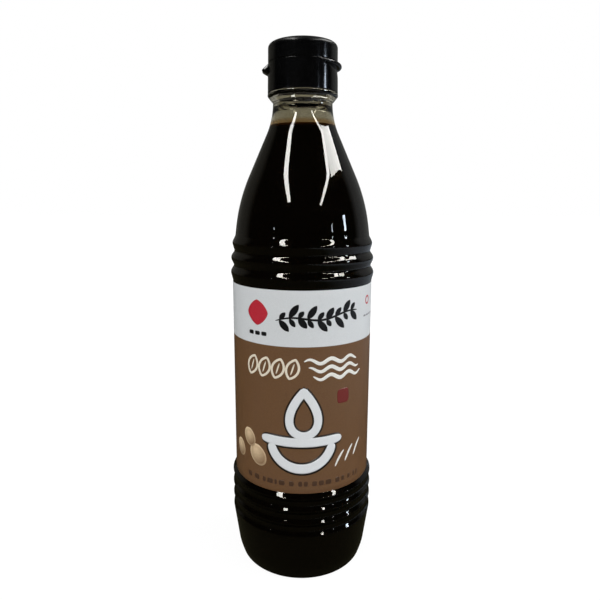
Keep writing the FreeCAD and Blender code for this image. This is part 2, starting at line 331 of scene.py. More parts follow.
finishShape = {
    "ringRise": 90.2, "ringReach": 17.4, "ringEdge": 0.45,   # carrying ring; its rise is above the panel, mm
    "ringLow": 0.5, "ringHigh": 1.15,                        # its two edges, above its rise
    "rootRise": 1.9, "rootRound": 0.8,                       # its roots, under and over it
    "reach": 15.3, "bore": 13.2, "edge": 0.3,                # plain tube above the ring
    "step": 235.4, "stepWidth": 1.2, "stepRise": 3.6,        # its thick wall starts inside the neck
    "stepRounds": (1.6, 1.5),
    "mouthDrop": 1.0,
}


def makeBottle():
    # one outline turned about Z: up the outer face, round ring and mouth, and back down the inner face
    shape = finishShape
    mouth, ring = mouthZ / mm, panelHigh / mm + shape["ringRise"]
    edge, ringEdge, rise = shape["edge"], shape["ringEdge"], shape["rootRise"]
    rim = [(bottleShape["neckReach"] + shape["rootRound"], ring - rise, shape["rootRound"], -1),
           (shape["ringReach"] - ringEdge, ring + shape["ringLow"], ringEdge, 1),
           (shape["ringReach"] - ringEdge, ring + shape["ringHigh"], ringEdge, 1),
           (shape["reach"] + edge, ring + rise, edge, -1),
           (shape["reach"] - edge, mouth - edge, edge, 1),
           (shape["bore"] + edge, mouth - edge, edge, 1)]
    step, (low, high) = standZ / mm + shape["step"], shape["stepRounds"]
    thick = [(shape["bore"] + shape["stepWidth"] - low, step, low, 1),
             (shape["bore"] + high, step + shape["stepRise"], high, -1),
             (shape["bore"], mouth - shape["mouthDrop"], 0, 1)]
    rim, thick = inMetres(rim), inMetres(thick)
    inner = bottleStops(bottleShape["wall"]) + thick
    inner = [(x, z, radius, -turn) for x, z, radius, turn in reversed(inner)]
    outside = outline(bottleStops(0) + rim[:1], step=1.8 * mm, turnStep=0.12)
    inside = outline(rim + inner, step=3.2 * mm, turnStep=0.45)
    grid = turned(np.concatenate([outside, inside]), bottleShape["segments"])
    newPiece("clearBottle", [(grid, False)], makeClearPlastic(), "bottle")


sauceShape = {
    "reach": 0.22,        # how far the sauce reaches into the clear wall, mm
    "climb": 0.2,         # how far it climbs the wall at its edge
    "curve": 2.4,         # width of the climbing edge
    "thin": 1.2,          # depth of the thin edge that lets light through
    "deepColours": ((0.0006, 0.0005, 0.0003, 1), (0.0013, 0.0009, 0.0005, 1)),
    "thinColour": (0.075, 0.036, 0.011, 1),
    "segments": 200,
}


def makeSauceMaterial():
    # near black in depth, amber only in the thin edge at the top
    shape = sauceShape
    material, nodes = newMaterial("darkSauce")
    thin = mapped(nodes, heightOf(nodes), sauceTop - shape["thin"] * mm, sauceTop, 0.0, 1.0)
    depth = mapped(nodes, placeNoise(nodes, 30.0), 0.3, 0.7, 0.0, 1.0)
    colour = mixed(nodes, thin, mixed(nodes, depth, *shape["deepColours"]), shape["thinColour"])
    shader = nodes.add("ShaderNodeBsdfPrincipled", {"Base Color": colour, "Roughness": 0.12, "IOR": 1.12})
    finishMaterial(nodes, shader)
    return material


def makeSauce():
    # the bottle's inner outline up to the level, then an edge that falls as climb (1 - share)^2 to the top
    shape = sauceShape
    stops = bottleStops(bottleShape["wall"] - shape["reach"])
    x, z, radius, turn = stops[-1]
    path = outline(stops + [(x - radius, mouthZ, 0, 1)], step=1.4 * mm, turnStep=0.25)
    climb, count = shape["climb"] * mm, 8
    wall = path[path[:, 1] < sauceTop + climb]
    upper = path[len(path) // 2:]
    edgeReach = np.interp(sauceTop + climb, upper[:, 1], upper[:, 0])
    share = np.linspace(0, 1, count)[:, None]
    curve = np.concatenate([edgeReach - shape["curve"] * mm * share, sauceTop + climb * (1 - share) ** 2], 1)
    flat = np.stack([np.linspace(curve[-1, 0], 0, count)[1:], np.full(count - 1, sauceTop)], 1)
    grid = turned(np.concatenate([wall, curve, flat]), shape["segments"])
    newPiece("sauceFill", [(grid, False)], makeSauceMaterial(), "soy_sauce")


labelShape = {
    "thick": 0.1, "edge": 0.03,   # mm
    "whiteHeight": 27.0,          # white band at the top
    "bandEdge": 0.05,             # half the width of its printed edge
    "overlapStart": 2.95,         # where the wrap's end lies over its start, radians from the front
    "overlapWidth": 0.16, "overlapEdges": (0.01, 0.05),
    "overlapProud": 0.06,
    "white": (0.635, 0.655, 0.67, 1), "whiteDarker": 0.95,
    "brown": (0.158, 0.076, 0.030, 1), "brownDarker": 0.86,
    "segments": 300,
}
whiteEdge = labelHigh - labelShape["whiteHeight"] * mm


def grainedColour(nodes, colour, darker):
    # fine printed grain: the colour and a slightly darker one, mixed by fine noise
    grain = mapped(nodes, placeNoise(nodes, 1600.0, detail=2.0), 0.35, 0.65, 0.0, 1.0)
    deeper = tuple(part * darker for part in colour[:3]) + (1,)
    return mixed(nodes, grain, colour, deeper)


def filmRipple(nodes):
    # slight lengthwise ripples of the film, which its print shares
    return placeNoise(nodes, 60.0, stretch=(1, 1, 0.08), detail=2.0)


def makeLabelFilm():
    # satin printed film: a pale band over a brown field, each with printed grain
    shape = labelShape
    material, nodes = newMaterial("labelFilm")
    height = heightOf(nodes)
    pale = grainedColour(nodes, shape["white"], shape["whiteDarker"])
    brown = grainedColour(nodes, shape["brown"], shape["brownDarker"])
    half = shape["bandEdge"] * mm
    share = mapped(nodes, height, whiteEdge - half, whiteEdge + half, 0.0, 1.0)
    ripple = filmRipple(nodes)
    shader = nodes.add("ShaderNodeBsdfPrincipled", {
        "Base Color": mixed(nodes, share, brown, pale),
        "Roughness": mapped(nodes, ripple, 0.3, 0.7, 0.33, 0.42),
        "Normal": bumped(nodes, ripple, 0.3, 0.15 * mm)})
    finishMaterial(nodes, shader)
    return material


def makeLabel():
    # a thin rectangle with rounded corners turned about Z into a sleeve
    shape = labelShape
    outer, inner = labelReach, labelReach - shape["thick"] * mm
    edge = shape["edge"] * mm
    stops = [(inner + edge, labelLow + edge, edge, 1), (outer - edge, labelLow + edge, edge, 1),
             (outer - edge, labelHigh - edge, edge, 1), (inner + edge, labelHigh - edge, edge, 1)]
    path = outline(stops, closed=True, step=3.5 * mm, turnStep=0.8)

    def overlap(reach, angle, height):
        # the outer face stands proud between the overlap's two edges
        (startEdge, endEdge), start = shape["overlapEdges"], shape["overlapStart"]
        inside = np.clip((angle - start) / startEdge, 0, 1)
        inside = inside * np.clip((start + shape["overlapWidth"] - angle) / endEdge, 0, 1)
        return reach + (reach > inner + edge) * inside * shape["overlapProud"] * mm

    grid = turned(path, shape["segments"], overlap)
    newPiece("wrapLabel", [(grid, True)], makeLabelFilm(), "label")


def onLabel(along, height, lift):
    # a flat place (along the label from the front's middle, height) rolled onto the label's round face
    angle = along / labelReach
    reach = labelReach + lift
    return np.stack([reach * np.sin(angle), -reach * np.cos(angle), height + 0 * angle], -1)


inkLift, inkSink = 0.03 * mm, -0.02 * mm     # how far ink stands over the label's face, and ends under it


def inkPatch(edge, lift=inkLift, rings=10):
    # a printed patch: rings of its closed edge shrunk towards its middle, share times (edge - middle), first
    # over the label and then back just under its face
    middle = edge.mean(0)
    share = np.concatenate([np.linspace(0, 1, rings), np.linspace(1, 0, 4)])[:, None, None]
    height = np.concatenate([np.full(rings - 1, lift), [0.4 * lift], np.full(4, inkSink)])[:, None]
    flat = middle + share * (edge - middle)
    return onLabel(flat[..., 0], flat[..., 1], height + 0 * flat[..., 0]), False


def inkStroke(path, width, closed=False, lift=inkLift):
    # a printed stroke: its path moved sideways by share times half its width, over the label's face and back
    tangent = np.roll(path, -1, 0) - np.roll(path, 1, 0) if closed else np.gradient(path, axis=0)
    tangent /= np.hypot(tangent[:, :1], tangent[:, 1:])
    side = np.stack([-tangent[:, 1], tangent[:, 0]], 1)
    share = np.concatenate([np.linspace(-1, 1, 7), np.linspace(0.98, -0.98, 3)])
    height = np.concatenate([[0], np.full(5, lift), [0], np.full(3, inkSink)])
    half = np.broadcast_to(width, len(path))[:, None, None] / 2
    flat = path[:, None] + share[None, :, None] * half * side[:, None]
    return onLabel(flat[..., 0], flat[..., 1], height[None] + 0 * flat[..., 0]), closed


def taper(count, power=0.5):
    # a stroke's width from end to end, (4 t (1 - t)) to a power: 0 at both ends, 1 in the middle
    t = np.linspace(0, 1, count)
    return (4 * t * (1 - t)) ** power


def roundBar(along, height, length, thick, count=28):
    # a bar with round ends as an edge: a superellipse, half its length times cos(t) to a power and so on
    t = np.linspace(0, 2 * math.pi, count, endpoint=False)
    x = length / 2 * np.sign(np.cos(t)) * np.abs(np.cos(t)) ** 0.35
    z = thick / 2 * np.sign(np.sin(t)) * np.abs(np.sin(t)) ** 0.7
    return np.stack([along + x, height + z], 1)


def tilted(along, height, x, z, tilt):
    # an edge (x, z) about a place, turned by its tilt
    c, s = math.cos(tilt), math.sin(tilt)
    return np.stack([along + c * x - s * z, height + s * x + c * z], 1)


def leafEdge(along, height, length, width, tilt, count=40):
    # a pointed leaf: half width times sin(t) to a power, along its length
    t = np.linspace(0, 2 * math.pi, count, endpoint=False)
    x = -length / 2 * np.cos(t)
    z = width / 2 * np.sign(np.sin(t)) * np.abs(np.sin(t)) ** 1.6
    return tilted(along, height, x, z, tilt)


def makeInk(name, colour, darker=0.9):
    # satin ink with the film's grain and ripple
    material, nodes = newMaterial(name)
    shader = nodes.add("ShaderNodeBsdfPrincipled", {
        "Base Color": grainedColour(nodes, colour, darker), "Roughness": 0.36,
        "Normal": bumped(nodes, filmRipple(nodes), 0.3, 0.15 * mm)})
    finishMaterial(nodes, shader)
    return material


def spot(along, height):
    # a place on the label given in mm along from the front's middle and above its foot
    return along * mm, labelLow + height * mm


topPrintShape = {
    "lozengePlace": (-23.0, 90.6), "lozengeReach": 6.2, "lozengePower": 1.35,   # mm; places are along, up
    "ringPlace": (40.4, 94.6), "ringReach": 1.9, "ringWidth": 0.9,
    "vineStart": -13.0, "vineEnd": 30.0, "vineHeight": 87.6,
    "vineRise": 3.2, "vineWave": 1.1, "stemWidth": 1.1,
    "leaves": 9, "leafLength": 7.2, "leafWidth": 3.3, "leafTilts": (-0.85, 0.95),
    "dots": 3, "dotPlace": (-26.9, 80.5), "dotPitch": 3.9, "dotSize": (3.0, 2.0),
    "bars": 4, "barPlace": (37.6, 86.9), "barPitch": 3.3, "barSize": (2.6, 0.9),
    "red": (0.50, 0.012, 0.03, 1), "dark": (0.006, 0.006, 0.007, 1), "grey": (0.22, 0.21, 0.24, 1),
}


def barRow(shape, kind):
    # equal small bars in a row
    along, height = shape[kind + "Place"]
    length, thick = shape[kind + "Size"]
    places = [spot(along + shape[kind + "Pitch"] * k, height) for k in range(shape[kind + "s"])]
    return [inkPatch(roundBar(*place, length * mm, thick * mm), rings=5) for place in places]


def vineGrids(shape):
    # a waved stem, and at even steps a large leaf to one side and a small one to the other
    t = np.linspace(0, 1, 90)
    along = shape["vineStart"] + (shape["vineEnd"] - shape["vineStart"]) * t
    height = shape["vineHeight"] + shape["vineRise"] * t + shape["vineWave"] * np.sin(9 * t)
    stem = np.stack(spot(along, height), 1)
    grids = [inkStroke(stem, shape["stemWidth"] * mm * taper(len(t), 0.3))]
    width = shape["leafWidth"] * mm
    for k in range(shape["leaves"]):
        root = stem[int((k + 0.5) / shape["leaves"] * (len(t) - 6))]
        tilt = shape["leafTilts"][k % 2]
        length = shape["leafLength"] * (1.0 + 0.12 * math.sin(2.3 * k)) * mm
        middle = root + 0.52 * length * np.array([math.cos(tilt), math.sin(tilt)])
        grids.append(inkPatch(leafEdge(*middle, length, width, tilt)))
        small = root + 0.36 * length * np.array([math.cos(tilt), -math.sin(tilt)])
        grids.append(inkPatch(leafEdge(*small, 0.62 * length, 0.75 * width, -tilt)))
    return grids


def makeTopPrint():
    # the white band: a red lozenge and ring, a dark leafy vine, and small bars
    shape = topPrintShape
    t = np.linspace(0, 2 * math.pi, 64, endpoint=False)
    along, height = spot(*shape["lozengePlace"])
    reach, power = shape["lozengeReach"] * mm, shape["lozengePower"]
    lozenge = np.stack([along + reach * np.sign(np.cos(t)) * np.abs(np.cos(t)) ** power,
                        height + reach * np.sign(np.sin(t)) * np.abs(np.sin(t)) ** power], 1)
    along, height = spot(*shape["ringPlace"])
    reach = shape["ringReach"] * mm
    ring = np.stack([along + reach * np.cos(t), height + reach * np.sin(t)], 1)
    newPiece("printRed", [inkPatch(lozenge), inkStroke(ring, shape["ringWidth"] * mm, closed=True)],
             makeInk("redInk", shape["red"]))
    vine = vineGrids(shape) + barRow(shape, "dot")
    newPiece("printDark", vine, makeInk("darkInk", shape["dark"]))
    newPiece("printGrey", barRow(shape, "bar"), makeInk("greyInk", shape["grey"]))


rowPrintShape = {
    "seeds": 4, "seedPlace": (-26.4, 64.2), "seedPitch": 7.3, "seedSize": (9.8, 6.0), "seedTilt": 1.25,   # mm
    "seedLine": 1.15, "veinLength": 6.0, "veinWidth": 0.8,
    "waves": 3, "waveStart": 1.0, "waveEnd": 33.5, "waveHeight": 64.0, "waveReach": 1.1, "waveWidth": 1.9,
    "wavePitch": 4.0, "waveStartStep": 2.2, "waveEndStep": 1.6,
    "blades": 3, "bladePlace": (17.4, 12.6), "bladePitch": (6.0, 1.5), "bladeLength": 9.0, "bladeWidth": 1.3,
    "cream": (0.78, 0.70, 0.56, 1), "pale": (0.80, 0.79, 0.74, 1),
}


def makeRowPrint():
    # under the band: cream seed outlines at the left, pale waves at the right; lower down, three pale blades
    shape = rowPrintShape
    tilt, (seedLength, seedWidth) = shape["seedTilt"], shape["seedSize"]
    t = np.linspace(-0.5, 0.5, 14)[:, None]
    grids = []
    for k in range(shape["seeds"]):
        place = spot(shape["seedPlace"][0] + shape["seedPitch"] * k, shape["seedPlace"][1])
        edge = leafEdge(*place, seedLength * mm, seedWidth * mm, tilt, count=72)
        grids.append(inkStroke(edge, shape["seedLine"] * mm, closed=True))
        vein = np.array(place) + shape["veinLength"] * mm * t * np.array([math.cos(tilt), math.sin(tilt)])
        grids.append(inkStroke(vein, shape["veinWidth"] * mm * taper(len(t))))
    newPiece("printCream", grids, makeInk("creamInk", shape["cream"], 0.95))

    t = np.linspace(0, 1, 120)
    grids = []
    for k in range(shape["waves"]):
        start = shape["waveStart"] + shape["waveStartStep"] * k
        end = shape["waveEnd"] - shape["waveEndStep"] * (2 - k)
        height = shape["waveHeight"] + shape["wavePitch"] * (1 - k)
        swell = shape["waveReach"] * np.sin(17 * t + 1.2 * k)
        wave = np.stack(spot(start + (end - start) * t, height + swell), 1)
        grids.append(inkStroke(wave, shape["waveWidth"] * mm * taper(len(t), 0.4)))
    t = np.linspace(0, 1, 26)
    blade = shape["bladeLength"] * mm * np.stack([0.42 * t + 0.16 * t * t, t * (1 - 0.12 * t)], 1)
    for k in range(shape["blades"]):
        root = [start + step * k for start, step in zip(shape["bladePlace"], shape["bladePitch"])]
        grids.append(inkStroke(np.array(spot(*root)) + blade, shape["bladeWidth"] * mm * taper(len(t), 0.45)))
    newPiece("printPaleMarks", grids, makeInk("paleInk", shape["pale"], 0.96))


motifShape = {
    "dropPlace": (1.0, 41.7), "dropSize": (9.0, 11.2), "dropPower": 0.9,   # mm
    "dropStroke": 0.84,       # the drop's and the rim's strokes are shares of the stroke's width
    "bowlHeight": 27.0, "bowlSize": (15.6, 14.2), "bowlTurn": 1.45, "bowlRise": 0.4,
    "rimReach": 21.0, "rimRise": 0.9, "rimStroke": 0.95,
    "strokeWidth": 5.6, "outlineWidth": 1.4,
    "shadowLift": 0.02, "motifLift": 0.05,
    "sealPlace": (21.6, 49.2), "sealSize": (7.2, 7.4),
    "white": (0.72, 0.74, 0.76, 1), "shadow": (0.018, 0.011, 0.007, 1), "seal": (0.17, 0.018, 0.014, 1),
}


def bigStrokes(extra, lift):
    # the large motif: a drop outline, reach sin(t) |sin(t / 2)| to a power, over the arc of a bowl with a
    # curved rim; extra widens every stroke
    shape = motifShape
    width = (shape["strokeWidth"] + extra) * mm
    t = np.linspace(0, 2 * math.pi, 130, endpoint=False)
    (along, height), (reach, rise) = shape["dropPlace"], shape["dropSize"]
    bulge = np.sin(t) * np.abs(np.sin(t / 2)) ** shape["dropPower"]
    drop = np.stack(spot(along + reach * bulge, height + rise * np.cos(t)), 1)
    t = np.linspace(-1, 1, 90)
    rim = np.stack(spot(shape["rimReach"] * t, shape["bowlHeight"] + shape["rimRise"] * t * t), 1)
    turn, (reach, depth) = shape["bowlTurn"] * t, shape["bowlSize"]
    middle = shape["bowlHeight"] + shape["bowlRise"]
    bowl = np.stack(spot(reach * np.sin(turn), middle - depth * np.cos(turn)), 1)
    rimWidth, bowlWidth = width * (1 - np.abs(t) ** 12) ** 0.5, width * (1 - np.abs(t) ** 20) ** 0.5
    return [inkStroke(drop, shape["dropStroke"] * width, closed=True, lift=lift),
            inkStroke(rim, shape["rimStroke"] * rimWidth, lift=lift),
            inkStroke(bowl, bowlWidth, lift=lift * 0.9)]


def makeMiddlePrint():
    # the white motif over its wider dark outline, and a red seal
    shape = motifShape
    dark = bigStrokes(shape["outlineWidth"], shape["shadowLift"] * mm)
    newPiece("printShadow", dark, makeInk("shadowInk", shape["shadow"]))
    white = bigStrokes(0, shape["motifLift"] * mm)
    newPiece("printMotif", white, makeInk("motifInk", shape["white"], 0.96))
    length, tall = shape["sealSize"]
    seal = inkPatch(roundBar(*spot(*shape["sealPlace"]), length * mm, tall * mm, count=48))
    newPiece("printSeal", [seal], makeInk("sealInk", shape["seal"]))


beanShape = {   # each bean: along, up, turn, size
    "beans": ((-37.7, 16.9, 2.0, 0.82), (-23.7, 17.2, 2.3, 1.04), (-29.5, 25.2, 2.1, 0.86)),
    "long": 11.6, "short": 9.4, "lift": 0.04,   # mm
    "lightPlace": (-1.2, 2.4),                  # brightest place, from the middle of a bean
    "dark": (0.22, 0.12, 0.055, 1), "light": (0.80, 0.60, 0.37, 1),
}


def makeBeanInk():
    # tan, lighter towards the upper left and at the rim, by each point's own tone
    material, nodes = newMaterial("beanInk")
    tone = nodes.add("ShaderNodeAttribute", attribute_name="tone").outputs["Fac"]
    speckle = mapped(nodes, placeNoise(nodes, 900.0), 0.3, 0.7, 0.86, 1.0)
    colour = mixed(nodes, tone, beanShape["dark"], beanShape["light"])
    dull = nodes.add("ShaderNodeMix", {0: 1.0}, data_type="RGBA", blend_type="MULTIPLY")
    nodes.tree.links.new(colour, dull.inputs[6])
    nodes.tree.links.new(speckle, dull.inputs[7])
    shader = nodes.add("ShaderNodeBsdfPrincipled", {"Base Color": dull.outputs[2], "Roughness": 0.38})
    finishMaterial(nodes, shader)
    return material


def makeBeans():
    # tilted ellipses; each point's tone falls with its distance from the brightest place and rises in the rim
    shape = beanShape
    long, short = shape["long"] / 2, shape["short"] / 2
    t = np.linspace(0, 2 * math.pi, 48, endpoint=False)
    grids = []
    for along, height, tilt, size in shape["beans"]:
        edge = tilted(*spot(along, height), size * long * mm * np.cos(t), size * short * mm * np.sin(t), tilt)
        grids.append(inkPatch(edge, lift=shape["lift"] * mm, rings=14))
    piece = newPiece("printBeans", grids, makeBeanInk())
    co = np.empty(len(piece.data.vertices) * 3)
    piece.data.vertices.foreach_get("co", co)
    x, y, z = co.reshape(-1, 3).T
    angle = np.arctan2(x, -y)
    tone = np.zeros(len(x))
    for along, height, tilt, size in shape["beans"]:
        middle, middleZ = spot(along, height)
        dx, dz = (angle * labelReach - middle) / mm / size, (z - middleZ) / mm / size
        c, s = math.cos(tilt), math.sin(tilt)
        square = ((c * dx + s * dz) / long) ** 2 + ((c * dz - s * dx) / short) ** 2
        away = np.hypot(dx - shape["lightPlace"][0], dz - shape["lightPlace"][1])
        lit = 0.92 - 0.12 * away + 0.40 * np.clip((square - 0.6) / 0.25, 0, 1)
        tone = np.where(square < 1.02, np.clip(lit, 0.05, 1), tone)
    attribute = piece.data.attributes.new("tone", "FLOAT", "POINT")
    attribute.data.foreach_set("value", tone.astype(np.float32))


smallPrintShape = {
    "rowStart": -31.0, "rowEnd": 34.0, "rowHeight": 5.2, "rowThick": 2.7,   # mm
    "blockLengths": (1.4, 3.6), "blockGaps": (0.8, 0.9, 2.2),
    "lines": 13, "linePitch": 3.6, "lineTop": 64.0, "lineThick": 1.3, "lineLong": 19.0, "lineShort": 11.0,
    "columnPitch": 13.5, "columnStart": -10.0,
    "frameHalf": 27.0, "frameLow": 12.0, "frameHigh": 70.0, "frameRound": 2.0, "frameWidth": 0.7,
    "faint": (0.075, 0.036, 0.017, 1), "cream": (0.74, 0.70, 0.60, 1),
}


def makeSmallPrint():
    # a faint row of blocks round the label's foot, and plain rows of bars in a frame on the back
    shape = smallPrintShape
    rng = np.random.default_rng(7)
    grids, along = [], shape["rowStart"]
    while along < shape["rowEnd"]:
        length = rng.uniform(*shape["blockLengths"])
        place = spot(along + length / 2, shape["rowHeight"])
        grids.append(inkPatch(roundBar(*place, length * mm, shape["rowThick"] * mm), rings=5))
        along += length + rng.choice(shape["blockGaps"])
    newPiece("printFaint", grids, makeInk("faintInk", shape["faint"]))

    middle = math.pi * labelReach / mm
    grids = []
    for column in (-1, 1):
        start = middle + shape["columnPitch"] * column + shape["columnStart"]
        for row in range(shape["lines"]):
            length = (shape["lineLong"] if row % 4 else shape["lineShort"]) * rng.uniform(0.82, 1.0)
            place = spot(start + length / 2, shape["lineTop"] - shape["linePitch"] * row)
            grids.append(inkPatch(roundBar(*place, length * mm, shape["lineThick"] * mm, count=64), rings=7))
    bend = shape["frameRound"]
    half, low, high = shape["frameHalf"] - bend, shape["frameLow"] + bend, shape["frameHigh"] - bend
    left, right = middle - half, middle + half
    corners = [spot(*corner) for corner in ((left, low), (right, low), (right, high), (left, high))]
    stops = [(along, height, bend * mm, 1) for along, height in corners]
    border = outline(stops, closed=True, step=1.0 * mm, turnStep=0.3)
    grids.append(inkStroke(border, shape["frameWidth"] * mm, closed=True))
    newPiece("printBack", grids, makeInk("backInk", shape["cream"], 0.96))


capShape = {
    "reach": 17.35, "topReach": 17.15, "bore": 15.4,     # mm
    "edge": 0.18, "boreEdge": 0.3,
    "scoopAxis": 2.0, "scoopLength": 9.7, "scoopRound": 36.0, "scoopGap": 0.02, "scoopBlend": 0.12,
    "satinLow": 2.6, "satinHigh": 0.9,                   # where the gloss turns satin, below the lid's top
    "blacks": ((0.0011, 0.0011, 0.0012, 1), (0.0022, 0.0022, 0.0024, 1)),
    "segments": 256,
}


def makeCapPlastic():
    # glossy black moulded plastic with a faint flow pattern and very fine scuffs, satin on the lid's top
    shape = capShape
    material, nodes = newMaterial("capPlastic")
    flow = placeNoise(nodes, 120.0, stretch=(1, 1, 0.5), detail=2.0)
    colour = mixed(nodes, mapped(nodes, flow, 0.35, 0.65, 0.0, 1.0), *shape["blacks"])
    scuffs = mapped(nodes, placeNoise(nodes, 1400.0, stretch=(1, 1, 0.2), detail=4.0), 0.3, 0.75, 0.0, 0.09)
    low, high = lidTop - shape["satinLow"] * mm, lidTop - shape["satinHigh"] * mm
    satin = mapped(nodes, heightOf(nodes), low, high, 0.09, 0.42)
    shader = nodes.add("ShaderNodeBsdfPrincipled", {
        "Base Color": colour, "Roughness": nodes.add("ShaderNodeMath", {0: scuffs, 1: satin}).outputs[0],
        "Normal": bumped(nodes, flow, 0.12, 0.1 * mm)})
    finishMaterial(nodes, shader)
    return material


def makeCapBase(plastic):
    # the skirt's outline turned about Z, its outer face cut back by the scoop at +X, and the hinge at -X
    shape = capShape
    edge, bore, boreEdge = shape["edge"] * mm, shape["bore"] * mm, shape["boreEdge"] * mm
    stops = [(0, mouthZ, 0, 1), (bore - boreEdge, mouthZ - boreEdge, boreEdge, -1),
             (bore + boreEdge, capLow + boreEdge, boreEdge, 1),
             (shape["reach"] * mm - edge, capLow + edge, edge, 1),
             (shape["topReach"] * mm - edge, capHigh - edge, edge, 1), (0, capHigh, 0, 1)]
    path = outline(stops, step=0.6 * mm, turnStep=0.25)

    def scoop(reach, angle, height):
        # never farther out than a circle about an axis set back, whose radius shrinks on an arc upwards
        start = (shape["reach"] + shape["scoopAxis"] + shape["scoopGap"]) * mm
        rise = np.clip(height - (capHigh - shape["scoopLength"] * mm), 0, None)
        bend = shape["scoopRound"] * mm
        radius = start - bend + np.sqrt(bend ** 2 - rise ** 2)
        back = shape["scoopAxis"] * mm
        limit = -back * np.sin(angle) + np.sqrt(radius ** 2 - (back * np.cos(angle)) ** 2)
        blend = shape["scoopBlend"] * mm
        over = np.clip((reach - limit) / blend, -1, 1)
        eased = blend * (over + 1) ** 2 / 4 * (reach > bore + 0.2 * mm)
        return np.where(reach - limit > blend, limit, reach - eased)

    grid = turned(path, shape["segments"], scoop)
    newPiece("capSkirt", [(grid, False), hingeGrid()], plastic, "cap_base")


hingeShape = {   # mm; reaches from the axis, and drops below the base's top
    "root": 16.5, "peak": 20.0, "width": 8.0,
    "top": 0.1, "peakDrop": 3.2, "foot": 5.4, "edge": 0.55,
}


def hingeGrid():
    # a rounded triangle carried across the back of the cap, shrinking to a point at each end
    shape = hingeShape
    edge = shape["edge"] * mm
    stops = [(shape["root"] * mm, capHigh - shape["foot"] * mm + edge, edge, 1),
             (shape["peak"] * mm - edge, capHigh - shape["peakDrop"] * mm, edge, 1),
             (shape["root"] * mm, capHigh - shape["top"] * mm - edge, edge, 1)]
    section = outline(stops, closed=True, step=0.4 * mm, turnStep=0.3)
    across = np.sin(np.linspace(-math.pi / 2, math.pi / 2, 33))
    size = np.clip(1 - np.abs(across) ** 10, 0, 1) ** 0.5
    middle = section.mean(0)
    flat = middle + size[:, None, None] * (section - middle)
    y = np.broadcast_to(across[:, None] * shape["width"] / 2 * mm, flat.shape[:2])
    return np.stack([-flat[..., 0], y, flat[..., 1]], -1), False


lidShape = {
    "foot": 17.1, "top": 17.05, "round": 2.2, "footEdge": 0.25, "seam": 0.3, "seamDepth": 0.4,   # mm
    "lipAxis": 3.5, "lipReach": 15.6, "lipInner": 16.6, "lipDrop": 2.7, "lipRise": 0.4,
    "lipTip": 1.15, "lipRoot": 0.2,
    "segments": 256,
}


def makeLid(plastic):
    # the lid's outline turned about Z, with a seam groove at its foot and a round top edge, and the lip
    shape = lidShape
    groove = (shape["foot"] - shape["seamDepth"]) * mm
    edgeZ = capHigh + shape["seam"] * mm
    big, small = shape["round"] * mm, shape["footEdge"] * mm
    stops = [(0, capHigh, 0, 1), (groove, capHigh, 0, 1), (groove, edgeZ, 0, 1),
             (shape["foot"] * mm - small, edgeZ + small, small, 1),
             (shape["top"] * mm - big, lidTop - big, big, 1), (0, lidTop, 0, 1)]
    path = outline(stops, step=0.55 * mm, turnStep=0.12)
    grid = turned(path, shape["segments"])
    newPiece("capLid", [(grid, False), lipGrid()], plastic, "cap_lid")


def lipGrid():
    # a crescent: a rounded wedge between the lid's face and a circle about an axis set forward; along the
    # crescent the wedge shrinks with the distance between the two, to a point at each tip
    shape = lidShape
    axis, reach, inner, tip = shape["lipAxis"], shape["lipReach"], shape["lipInner"], shape["lipTip"]
    span = math.acos((inner ** 2 + axis ** 2 - reach ** 2) / (2 * inner * axis))
    angle = span * np.sin(np.linspace(-math.pi / 2, math.pi / 2, 97))
    outer = axis * np.cos(angle) + np.sqrt(reach ** 2 - (axis * np.sin(angle)) ** 2)
    thick = np.clip(outer - inner, 0, None)
    most = axis + reach - inner
    share = (thick / most)[:, None]
    middle = (shape["lipRise"] - shape["lipDrop"]) / 2
    root = shape["lipRoot"]
    stops = [(root, root - shape["lipDrop"], root, 1), (most - tip, middle - root, tip, 1),
             (root, shape["lipRise"] - root, root, 1)]
    section = outline(stops, closed=True, step=0.25, turnStep=0.25)
    out = inner + section[:, 0] * share
    height = capHigh / mm + section[:, 1] * share ** 0.5
    points = np.stack([out * np.cos(angle)[:, None], out * np.sin(angle)[:, None], height], -1) * mm
    points[0], points[-1] = points[0].mean(0), points[-1].mean(0)
    return points, False


lightShape = {
    "ceiling": 1.5,       # m above the floor
    # each strip or panel: middle (x, y), size, turn in degrees, radiance
    "leftStrip": ((-0.88, -1.17), (0.24, 1.92), -7.0, 17.0),
    "rightStrip": ((1.33, -0.70), (0.16, 3.0), 5.0, 17.0),
    "rightPanel": ((1.66, 0.15), (0.33, 1.26), -26.0, 12.0),
    # each window: direction and height in degrees, width and height in m, radiance
    "windows": ((77.0, 11.5, 0.14, 0.32, 22.0), (51.0, 10.8, 0.07, 0.17, 11.0),
                (-48.0, 10.3, 0.05, 0.05, 14.0)),
    "windowFar": 2.0, "windowFoot": 0.18,   # m from the axis, and height that they are seen from
    "white": (1.0, 0.99, 0.96), "windowTint": (0.72, 0.84, 1.0),
}


def addLight(name, place, size, radiance, tint, aim):
    # an area light whose face is as bright as its radiance: power = radiance times pi times area
    data = bpy.data.lights.new(name, "AREA")
    data.shape = "RECTANGLE"
    data.size, data.size_y = size
    data.energy = radiance * math.pi * size[0] * size[1]
    data.color = tint
    lamp = bpy.data.objects.new(name, data)
    lamp.location = place
    lamp.rotation_euler = aim
    lamp.visible_camera = False
    bpy.context.scene.collection.objects.link(lamp)


def makeLights():
    shape = lightShape
    for name in ("leftStrip", "rightStrip", "rightPanel"):
        (x, y), size, turn, radiance = shape[name]
        addLight(name, (x, y, shape["ceiling"]), size, radiance, shape["white"], (0, 0, math.radians(turn)))
    for k, (side, lift, width, tall, radiance) in enumerate(shape["windows"]):
        a, e = math.radians(side), math.radians(lift)
        far = shape["windowFar"]
        place = (far * math.sin(a), -far * math.cos(a), shape["windowFoot"] + far * math.tan(e))
        addLight(f"window{k}", place, (width, tall), radiance, shape["windowTint"], (math.pi / 2, 0, a))


